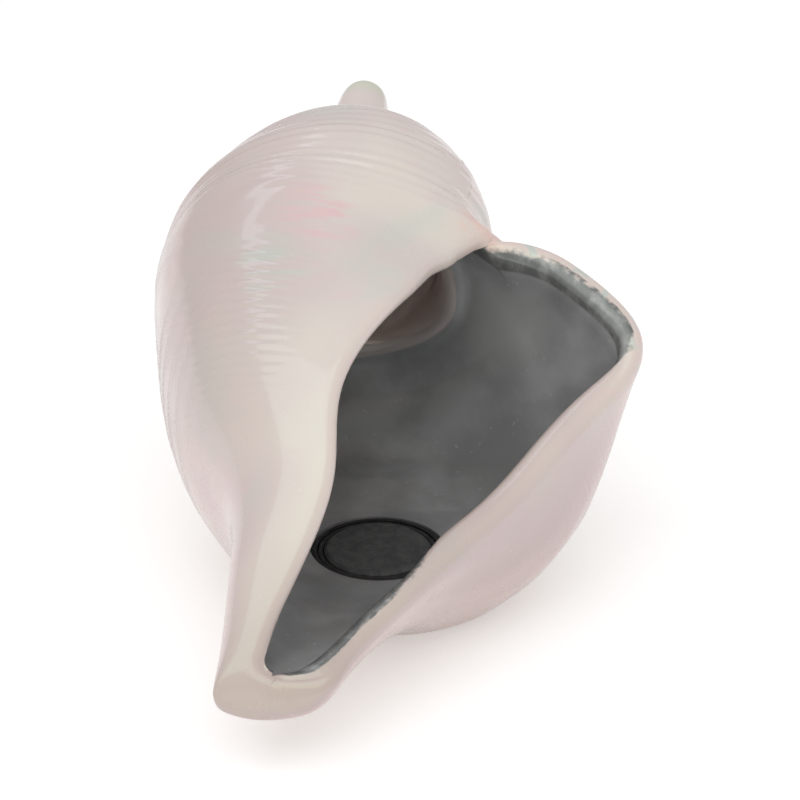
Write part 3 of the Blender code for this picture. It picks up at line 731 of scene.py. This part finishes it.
def shell_material():
    """Pearl glaze outside, pewter lustre inside the lip, bare clay where the foot is cut."""
    material, tree, shader = start_material(
        "pearl_glaze", 0.25, Coat_Weight=0.6, Coat_Roughness=0.06, Coat_IOR=1.5,
        Thin_Film_Thickness=380.0, Thin_Film_IOR=1.4)
    depth = node(tree, "ShaderNodeAttribute", attribute_name="lip_depth").outputs["Fac"]
    brushed = noise(tree, place(tree), 420, 3.0, 0.6)
    wander = noise(tree, place(tree), 60, 2.0)
    ragged = calculate(tree, "ADD", depth, calculate(tree, "MULTIPLY", brushed, BRUSHING))
    ragged = calculate(tree, "ADD", ragged, calculate(tree, "MULTIPLY", wander, BRUSHING))
    inside = spread(tree, ragged, PAINT_FROM, PAINT_TO)
    hollow = spread(tree, depth, 40.0, 50.0)
    bare = spread(tree, depth, -30.0, -20.0, 1.0, 0.0)

    colour = mix_colours(tree, inside, glaze_colour(tree, depth), pewter_colour(tree, depth))
    colour = mix_colours(tree, bare, colour, CLAY)
    tree.links.new(colour, shader.inputs["Base Color"])
    smudge = noise(tree, place(tree), 120, 3.0)
    rough_inside = spread(tree, smudge, 0.3, 0.7, 0.34, 0.46)
    rough_inside = mix_numbers(tree, hollow, rough_inside, 0.2)
    rough = mix_numbers(tree, inside, spread(tree, smudge, 0.3, 0.7, 0.22, 0.3), rough_inside)
    rough = mix_numbers(tree, bare, rough, 0.8)
    tree.links.new(rough, shader.inputs["Roughness"])
    tree.links.new(calculate(tree, "MULTIPLY", inside, 0.45), shader.inputs["Metallic"])
    ripple = noise(tree, place(tree), 150, 2.0)
    tree.links.new(bump(tree, ripple, 0.25, 0.0004), shader.inputs["Normal"])
    return material


def plain_material(name, colour, second, roughness, scale, depth, **constants):
    """A moulded or sintered material: two close tones, uneven gloss and a fine grain."""
    material, tree, shader = start_material(name, roughness, **constants)
    patches = noise(tree, place(tree), scale * 0.3, 3.0)
    grain = noise(tree, place(tree), scale, 4.0, 0.6)
    tree.links.new(mix_colours(tree, spread(tree, patches, 0.35, 0.65), colour, second),
                   shader.inputs["Base Color"])
    rough = spread(tree, grain, 0.3, 0.7, roughness * 0.85, min(1.0, roughness * 1.15))
    tree.links.new(rough, shader.inputs["Roughness"])
    tree.links.new(bump(tree, grain, 0.5, depth), shader.inputs["Normal"])
    return material


# Scene --------------------------------------------------------------------------------

def make_camera():
    camera = bpy.data.objects.new("camera", bpy.data.cameras.new("camera"))
    bpy.context.scene.collection.objects.link(camera)
    camera.data.lens = CAMERA_LENS
    camera.data.sensor_width = 36.0
    camera.data.clip_start = 0.05
    target = Vector(CAMERA_TARGET) * MM
    height = math.radians(CAMERA_HEIGHT)
    back = Vector((0, -math.cos(height), math.sin(height)))
    camera.location = target + back * CAMERA_DISTANCE * MM
    camera.rotation_euler = (math.pi / 2 - height, 0, 0)
    bpy.context.scene.camera = camera


def make_floor():
    shape = bmesh.new()
    bmesh.ops.create_grid(shape, x_segments=1, y_segments=1, size=4.0)
    floor = new_piece("floor", shape)
    material, tree, shader = start_material("floor_paper", 0.9)
    shader.inputs["Base Color"].default_value = (0.86, 0.86, 0.86, 1)
    shader.inputs["Emission Color"].default_value = (1, 0.985, 0.97, 1)
    shader.inputs["Emission Strength"].default_value = 0.35
    floor.data.materials.append(material)


def softbox(name, direction, distance, size, power, colour=(1, 1, 1)):
    """An area light that looks at the ornament from a direction."""
    light = bpy.data.lights.new(name, "AREA")
    light.shape = "RECTANGLE"
    light.size, light.size_y = size
    light.energy = power
    light.color = colour
    lamp = bpy.data.objects.new(name, light)
    bpy.context.scene.collection.objects.link(lamp)
    away = Vector(direction).normalized()
    lamp.location = Vector((0, 0, 0.04)) + away * distance
    lamp.rotation_euler = away.to_track_quat("Z", "Y").to_euler()


def make_lights():
    world = bpy.data.worlds.new("studio")
    world.use_nodes = True
    background = world.node_tree.nodes["Background"]
    background.inputs["Color"].default_value = (1, 1, 1, 1)
    background.inputs["Strength"].default_value = 0.56
    bpy.context.scene.world = world
    softbox("top_softbox", (-0.34, 0.4, 0.87), 0.9, (0.6, 0.12), 0.35)
    softbox("front_softbox", (-0.1, -0.55, 1.0), 1.0, (1.2, 0.9), 4.6)


def main():
    shell = make_shell()
    shell.data.materials.clear()
    shell.data.materials.append(shell_material())
    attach(shell, "shell")
    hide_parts("shell_body")

    black = plain_material("black_plastic", (0.018, 0.018, 0.02), (0.028, 0.028, 0.03),
                           0.35, 1500, 0.00002)
    rubber = plain_material("black_rubber", (0.02, 0.02, 0.02), (0.035, 0.034, 0.033),
                            0.65, 2500, 0.00002)
    # The stone's near-black tone also paints the shade that lies on the cavity's floor.
    stone_and_floor_shade = plain_material("diffuser_stone", (0.06, 0.06, 0.061), (0.09, 0.088, 0.086),
                           0.8, 1800, 0.0002)
    silicone = plain_material("silicone", (0.62, 0.64, 0.62), (0.55, 0.58, 0.56),
                              0.3, 600, 0.00002, Subsurface_Weight=0.3)
    clear = plain_material("clear_pad", (0.7, 0.7, 0.68), (0.62, 0.62, 0.6),
                           0.25, 600, 0.00002, Transmission_Weight=0.5)
    finish = {"plenum_cup": black, "cup_gasket": rubber, "disc_collar": black,
              "diffuser_disc": stone_and_floor_shade, "disc_seal": rubber, "feed_tube": silicone,
              "inlet_grommet": rubber, "inlet_bush": black, "inlet_elbow": black}
    for name, object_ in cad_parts.items():
        material = clear if name.startswith("foot_pad") else finish.get(name)
        if material is not None:
            object_.data.materials.clear()
            object_.data.materials.append(material)
    make_camera()
    make_floor()
    make_lights()
    bpy.context.scene.view_settings.view_transform = "Standard"


main()
